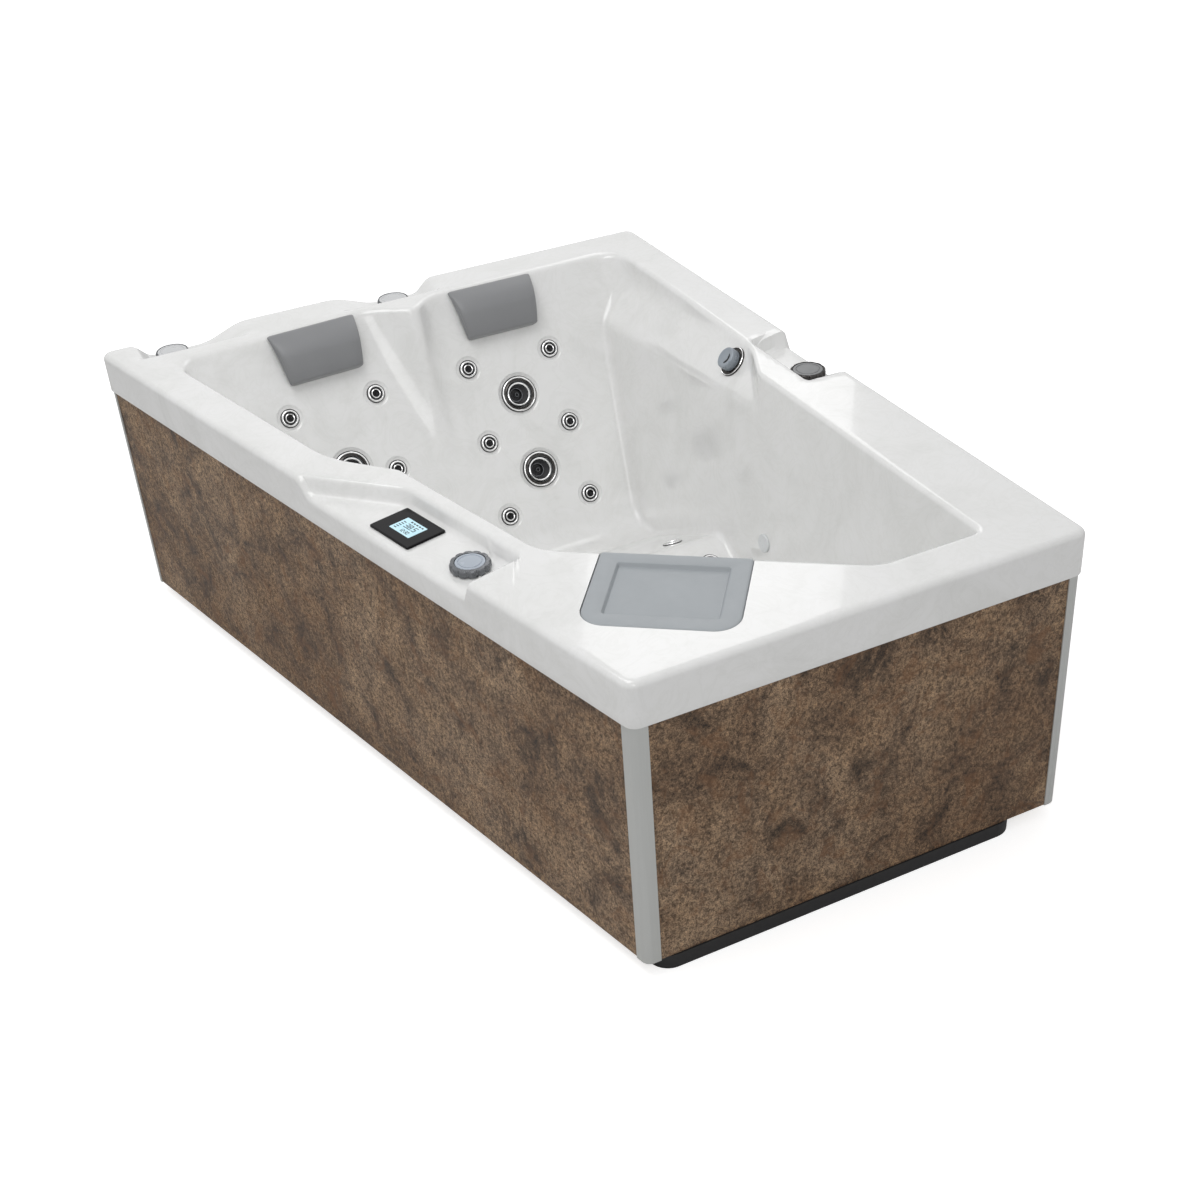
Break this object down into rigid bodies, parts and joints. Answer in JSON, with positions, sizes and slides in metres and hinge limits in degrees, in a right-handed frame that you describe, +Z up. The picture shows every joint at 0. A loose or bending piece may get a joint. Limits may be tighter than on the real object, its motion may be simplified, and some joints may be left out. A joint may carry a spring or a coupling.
{
  "type": "jetted bathtub",
  "caption": "Jetted bathtub: moulded acrylic shell with reclined seats, pillows and jets in a panelled cabinet with one slanted side, over pump, heater and filter.",
  "frame": {"origin": "centre of the plan's box, on the floor under the base pan", "axes": "+Z up, -X the head end with the pillows, +X the foot end, -Y the slanted front side"},
  "size_m": [2.15, 1.641, 0.7789],
  "materials": {
    "acrylic": "marbled, glossy",
    "laminate": "stone look, satin",
    "post": "satin",
    "pan": "matt black",
    "timber": "planed",
    "pillow_skin": "soft grained skin",
    "grey_plastic": "satin",
    "dark_plastic": "satin",
    "black_gloss": "glossy",
    "lit_screen": "lit",
    "cap_grey": "metallic satin",
    "chromed": "polished",
    "steel": "brushed",
    "white_pipe": "smooth",
    "motor_paint": "satin",
    "filter_paper": "pleated",
    "lens": "frosted"
  },
  "bodies": {
    "tub": {"tub_shell": "acrylic", "base_pan": "pan", "pan_skids": "timber", "lower_frame": "timber", "studs": "timber", "noggins": "timber", "panel_front": "laminate", "panel_foot": "laminate", "panel_back": "laminate", "panel_head": "laminate", "corner_post_left": "post", "corner_post_near": "post", "corner_post_right": "post", "corner_post_far": "post", "pillow_pins_left": "steel", "pillow_pins_right": "steel", "display_bezel": "black_gloss", "display_screen": "lit_screen", "display_housing": "dark_plastic", "filter_housing": "grey_plastic", "weir_pin": "steel", "valve_bodies": "grey_plastic", "wall_knob_ring": "chromed", "jet_nozzles": "dark_plastic", "jet_bodies": "grey_plastic", "light_lens": "lens", "suction_covers": "grey_plastic", "pump_motor": "motor_paint", "pump_wet_end": "dark_plastic", "suction_pipes": "white_pipe", "pressure_pipes": "white_pipe", "heater": "steel", "control_box": "dark_plastic"},
    "diverter_knob": {"diverter_knob": "cap_grey"},
    "air_knob_left": {"air_knob_left": "cap_grey"},
    "air_knob_middle": {"air_knob_middle": "cap_grey"},
    "air_knob_back": {"air_knob_back": "cap_grey"},
    "wall_knob": {"wall_knob": "dark_plastic"},
    "jet_ring_01": {"jet_ring_01": "chromed"},
    "jet_ring_02": {"jet_ring_02": "chromed"},
    "jet_ring_03": {"jet_ring_03": "chromed"},
    "jet_ring_04": {"jet_ring_04": "chromed"},
    "jet_ring_05": {"jet_ring_05": "chromed"},
    "jet_ring_06": {"jet_ring_06": "chromed"},
    "jet_ring_07": {"jet_ring_07": "chromed"},
    "jet_ring_08": {"jet_ring_08": "chromed"},
    "jet_ring_09": {"jet_ring_09": "chromed"},
    "jet_ring_10": {"jet_ring_10": "chromed"},
    "big_jet_ring_1": {"big_jet_ring_1": "chromed"},
    "big_jet_ring_2": {"big_jet_ring_2": "chromed"},
    "big_jet_ring_3": {"big_jet_ring_3": "chromed"},
    "big_jet_rotor_1": {"big_jet_rotor_1": "dark_plastic"},
    "big_jet_rotor_2": {"big_jet_rotor_2": "dark_plastic"},
    "big_jet_rotor_3": {"big_jet_rotor_3": "dark_plastic"},
    "filter_lid": {"filter_lid": "grey_plastic"},
    "filter_cartridge": {"filter_cartridge": "filter_paper"},
    "weir_flap": {"weir_flap": "grey_plastic"},
    "pillow_left": {"pillow_left": "pillow_skin"},
    "pillow_right": {"pillow_right": "pillow_skin"},
    "pump_impeller": {"pump_impeller": "dark_plastic"}
  },
  "joints": [
    {"name": "diverter_knob_turn", "type": "hinge", "parent": "tub", "child": "diverter_knob", "pos_m": [0.46667, -0.3416, 0.735], "axis": [0, 0, 1], "range_deg": [0, 180]},
    {"name": "air_knob_left_turn", "type": "hinge", "parent": "tub", "child": "air_knob_left", "pos_m": [-1.021, -0.63795, 0.735], "axis": [0, 0, 1], "range_deg": [0, 120]},
    {"name": "air_knob_middle_turn", "type": "hinge", "parent": "tub", "child": "air_knob_middle", "pos_m": [-1.021, 0.016, 0.735], "axis": [0, 0, 1], "range_deg": [0, 120]},
    {"name": "air_knob_back_turn", "type": "hinge", "parent": "tub", "child": "air_knob_back", "pos_m": [0.048, 0.76655, 0.735], "axis": [0, 0, 1], "range_deg": [0, 120]},
    {"name": "wall_knob_turn", "type": "hinge", "parent": "tub", "child": "wall_knob", "pos_m": [-0.15196, 0.65935, 0.72254], "axis": [-0.0548, -0.7641, 0.6428], "range_deg": [0, 180]},
    {"name": "jet_ring_01_turn", "type": "hinge", "parent": "tub", "child": "jet_ring_01", "pos_m": [-0.81722, 0.151, 0.571], "axis": [0.866, 0, 0.5], "range_deg": [0, 90]},
    {"name": "jet_ring_02_turn", "type": "hinge", "parent": "tub", "child": "jet_ring_02", "pos_m": [-0.81722, 0.411, 0.571], "axis": [0.866, 0, 0.5], "range_deg": [0, 90]},
    {"name": "jet_ring_03_turn", "type": "hinge", "parent": "tub", "child": "jet_ring_03", "pos_m": [-0.70579, 0.151, 0.378], "axis": [0.866, 0, 0.5], "range_deg": [0, 90]},
    {"name": "jet_ring_04_turn", "type": "hinge", "parent": "tub", "child": "jet_ring_04", "pos_m": [-0.70579, 0.411, 0.378], "axis": [0.866, 0, 0.5], "range_deg": [0, 90]},
    {"name": "jet_ring_05_turn", "type": "hinge", "parent": "tub", "child": "jet_ring_05", "pos_m": [-0.59494, 0.151, 0.186], "axis": [0.866, 0, 0.5], "range_deg": [0, 90]},
    {"name": "jet_ring_06_turn", "type": "hinge", "parent": "tub", "child": "jet_ring_06", "pos_m": [-0.59494, 0.411, 0.186], "axis": [0.866, 0, 0.5], "range_deg": [0, 90]},
    {"name": "jet_ring_07_turn", "type": "hinge", "parent": "tub", "child": "jet_ring_07", "pos_m": [-0.79568, -0.395, 0.571], "axis": [0.8639, 0.0604, 0.5], "range_deg": [0, 90]},
    {"name": "jet_ring_08_turn", "type": "hinge", "parent": "tub", "child": "jet_ring_08", "pos_m": [-0.81386, -0.135, 0.571], "axis": [0.8639, 0.0604, 0.5], "range_deg": [0, 90]},
    {"name": "jet_ring_09_turn", "type": "hinge", "parent": "tub", "child": "jet_ring_09", "pos_m": [-0.68397, -0.395, 0.378], "axis": [0.8639, 0.0604, 0.5], "range_deg": [0, 90]},
    {"name": "jet_ring_10_turn", "type": "hinge", "parent": "tub", "child": "jet_ring_10", "pos_m": [-0.70215, -0.135, 0.378], "axis": [0.8639, 0.0604, 0.5], "range_deg": [0, 90]},
    {"name": "big_jet_ring_1_turn", "type": "hinge", "parent": "tub", "child": "big_jet_ring_1", "pos_m": [-0.7641, 0.281, 0.479], "axis": [0.866, 0, 0.5], "range_deg": [0, 90]},
    {"name": "big_jet_ring_2_turn", "type": "hinge", "parent": "tub", "child": "big_jet_ring_2", "pos_m": [-0.64979, 0.281, 0.281], "axis": [0.866, 0, 0.5], "range_deg": [0, 90]},
    {"name": "big_jet_ring_3_turn", "type": "hinge", "parent": "tub", "child": "big_jet_ring_3", "pos_m": [-0.71159, -0.265, 0.41], "axis": [0.8639, 0.0604, 0.5], "range_deg": [0, 90]},
    {"name": "big_jet_rotor_1_turn", "type": "hinge", "parent": "tub", "child": "big_jet_rotor_1", "pos_m": [-0.7641, 0.281, 0.479], "axis": [0.866, 0, 0.5], "continuous": true},
    {"name": "big_jet_rotor_2_turn", "type": "hinge", "parent": "tub", "child": "big_jet_rotor_2", "pos_m": [-0.64979, 0.281, 0.281], "axis": [0.866, 0, 0.5], "continuous": true},
    {"name": "big_jet_rotor_3_turn", "type": "hinge", "parent": "tub", "child": "big_jet_rotor_3", "pos_m": [-0.71159, -0.265, 0.41], "axis": [0.8639, 0.0604, 0.5], "continuous": true},
    {"name": "filter_lid_slide", "type": "slide", "parent": "tub", "child": "filter_lid", "axis": [0, 0, 1], "range_m": [0, 0.15]},
    {"name": "filter_cartridge_turn", "type": "hinge", "parent": "tub", "child": "filter_cartridge", "pos_m": [0.8139, -0.04457, 0], "axis": [0, 0, 1], "range_deg": [0, 90]},
    {"name": "weir_flap_turn", "type": "hinge", "parent": "tub", "child": "weir_flap", "pos_m": [0.7157, 0.02782, 0.6602], "axis": [0.5934, 0.8049, 0], "range_deg": [0, 60]},
    {"name": "pillow_left_slide", "type": "slide", "parent": "tub", "child": "pillow_left", "axis": [0.8639, 0.0604, 0.5], "range_m": [0, 0.06]},
    {"name": "pillow_right_slide", "type": "slide", "parent": "tub", "child": "pillow_right", "axis": [0.866, 0, 0.5], "range_m": [0, 0.06]},
    {"name": "pump_impeller_turn", "type": "hinge", "parent": "tub", "child": "pump_impeller", "pos_m": [0.80044, -0.13529, 0.118], "axis": [0.5934, 0.8049, 0], "continuous": true}
  ]
}
